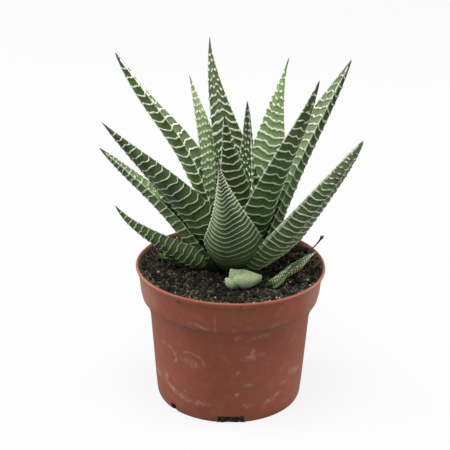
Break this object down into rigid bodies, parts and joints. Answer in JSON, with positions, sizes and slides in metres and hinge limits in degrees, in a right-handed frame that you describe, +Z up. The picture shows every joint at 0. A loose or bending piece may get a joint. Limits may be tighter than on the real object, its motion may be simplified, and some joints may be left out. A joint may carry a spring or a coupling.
{
  "type": "potted haworthia",
  "caption": "Haworthia rosette of pointed, white-banded leaves in a round terracotta-coloured plastic nursery pot filled with dark soil.",
  "frame": {"origin": "centre of the pot's underside, on the surface it stands on", "axes": "+Z up along the pot's axis, -Y towards the viewer of the picture, +X to that viewer's right"},
  "size_m": [0.116, 0.113, 0.165],
  "materials": {
    "pot": "terracotta-coloured thin plastic, satin, with dull lime marks",
    "soil": "dark crumbly potting soil with pale grit",
    "stock": "dull woody green",
    "leaf_dark": "deep green leaf skin, satin, with raised cream-white bands",
    "leaf_mid": "mid green leaf skin, satin, with raised cream-white bands",
    "leaf_light": "light green leaf skin, satin, with raised cream-white bands",
    "offset": "pale green leaf skin with fine white dots",
    "weed": "thin fresh green leaves",
    "stalk": "dry brown-grey stalk"
  },
  "bodies": {
    "root": {"pot": "pot", "soil": "soil", "root_stock": "stock", "leaf_front_broad": "leaf_mid", "leaf_young_left": "leaf_mid", "leaf_lower_left": "leaf_mid", "leaf_right_tall": "leaf_mid", "leaf_right_low": "leaf_mid", "leaf_rear_middle": "leaf_mid", "leaf_rear_right": "leaf_mid", "leaf_rear_left": "leaf_mid", "leaf_rear_low_left": "leaf_mid", "leaf_front_upright": "leaf_dark", "leaf_tall_middle": "leaf_dark", "leaf_narrow_middle": "leaf_dark", "leaf_upper_left": "leaf_dark", "leaf_mid_left": "leaf_dark", "leaf_soil_left": "leaf_dark", "leaf_right_front": "leaf_dark", "leaf_right_behind": "leaf_dark", "leaf_right_shaded": "leaf_dark", "leaf_rear_low_right": "leaf_dark", "leaf_back_right": "leaf_light", "leaf_back_left": "leaf_light", "offset_front": "offset", "offset_right": "leaf_mid", "weed_seedling": "weed", "dry_stalk": "stalk"}
  },
  "joints": []
}
